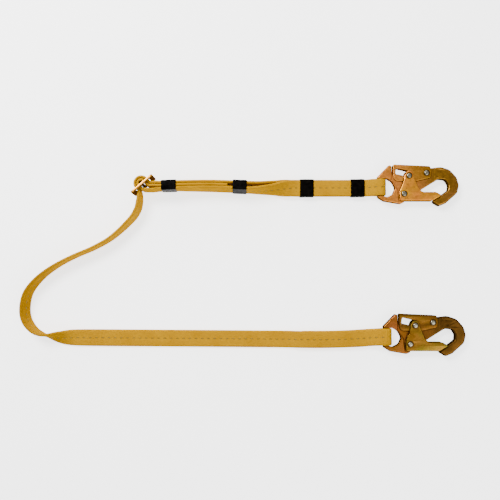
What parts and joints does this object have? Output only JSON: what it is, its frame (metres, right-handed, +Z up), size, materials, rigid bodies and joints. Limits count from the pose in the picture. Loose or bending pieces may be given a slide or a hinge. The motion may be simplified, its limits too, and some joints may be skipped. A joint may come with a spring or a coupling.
{
  "type": "shock absorbing lanyard",
  "caption": "Adjustable webbing lanyard with a tearing shock core, a three bar adjuster, keeper bands and a double locking snap hook at each end.",
  "frame": {"origin": "centre of the bounding box on the surface the lanyard lies on", "axes": "+X towards the tips of both hooks along the straight runs, +Z up from the surface, +Y towards the adjustable upper run"},
  "size_m": [0.6658, 0.2892, 0.036],
  "materials": {
    "webbing_jacket": "yellow tubular polyester webbing with a dark centre stitch",
    "shock_core": "undyed partially drawn yarn strap, hidden inside the webbing",
    "keeper_1": "glossy black flexible vinyl",
    "keeper_2": "glossy black flexible vinyl",
    "keeper_3": "glossy black flexible vinyl",
    "keeper_4": "glossy black flexible vinyl",
    "adjuster_frame": "stamped steel with yellow zinc dichromate plating",
    "upper_hook_body": "drop forged steel with yellow zinc dichromate plating",
    "upper_gate": "folded steel sheet with yellow zinc dichromate plating",
    "upper_lock_lever": "folded steel sheet with yellow zinc dichromate plating",
    "upper_gate_rivet": "bright steel rivet",
    "upper_lock_pin": "bright steel pin",
    "upper_lever_rivet": "bright steel rivet",
    "upper_spring": "plain spring steel wire",
    "lower_hook_body": "drop forged steel with yellow zinc dichromate plating",
    "lower_gate": "folded steel sheet with yellow zinc dichromate plating",
    "lower_lock_lever": "folded steel sheet with yellow zinc dichromate plating",
    "lower_gate_rivet": "bright steel rivet",
    "lower_lock_pin": "bright steel pin",
    "lower_lever_rivet": "bright steel rivet",
    "lower_spring": "plain spring steel wire"
  },
  "bodies": {
    "webbing": {"webbing_jacket": "webbing_jacket", "shock_core": "shock_core", "keeper_1": "keeper_1", "keeper_2": "keeper_2", "keeper_3": "keeper_3", "keeper_4": "keeper_4"},
    "adjuster": {"adjuster_frame": "adjuster_frame"},
    "upper_hook": {"upper_hook_body": "upper_hook_body", "upper_gate_rivet": "upper_gate_rivet", "upper_lever_rivet": "upper_lever_rivet"},
    "upper_gate": {"upper_gate": "upper_gate", "upper_lock_pin": "upper_lock_pin", "upper_spring": "upper_spring"},
    "upper_lever": {"upper_lock_lever": "upper_lock_lever"},
    "lower_hook": {"lower_hook_body": "lower_hook_body", "lower_gate_rivet": "lower_gate_rivet", "lower_lever_rivet": "lower_lever_rivet"},
    "lower_gate": {"lower_gate": "lower_gate", "lower_lock_pin": "lower_lock_pin", "lower_spring": "lower_spring"},
    "lower_lever": {"lower_lock_lever": "lower_lock_lever"}
  },
  "joints": [
    {"name": "adjuster_tilt", "type": "hinge", "parent": "webbing", "child": "adjuster", "pos_m": [-0.1511, 0.112, 0.018], "axis": [0, 0, 1], "range_deg": [-6, 6]},
    {"name": "upper_hook_swing", "type": "hinge", "parent": "webbing", "child": "upper_hook", "pos_m": [0.208, 0.1101, 0.009], "axis": [0, 1, 0], "range_deg": [-80, 80]},
    {"name": "upper_gate_open", "type": "hinge", "parent": "upper_hook", "child": "upper_gate", "pos_m": [0.2428, 0.0995, 0.009], "axis": [0, 0, 1], "range_deg": [0, 25], "stiffness_Nm_per_rad": 0.25, "springref_deg": -11.46},
    {"name": "upper_lever_press", "type": "hinge", "parent": "upper_hook", "child": "upper_lever", "pos_m": [0.2776, 0.1317, 0.009], "axis": [0, 0, 1], "range_deg": [0, 8]},
    {"name": "lower_hook_swing", "type": "hinge", "parent": "webbing", "child": "lower_hook", "pos_m": [0.2141, -0.1158, 0.009], "axis": [0, 1, 0], "range_deg": [-80, 80]},
    {"name": "lower_gate_open", "type": "hinge", "parent": "lower_hook", "child": "lower_gate", "pos_m": [0.2489, -0.1264, 0.009], "axis": [0, 0, 1], "range_deg": [0, 25], "stiffness_Nm_per_rad": 0.25, "springref_deg": -11.46},
    {"name": "lower_lever_press", "type": "hinge", "parent": "lower_hook", "child": "lower_lever", "pos_m": [0.2837, -0.0942, 0.009], "axis": [0, 0, 1], "range_deg": [0, 8]}
  ],
  "couplings": [
    {"joint": "upper_lever_press", "follows": "upper_gate_open", "ratio": 0.32},
    {"joint": "lower_lever_press", "follows": "lower_gate_open", "ratio": 0.32}
  ]
}
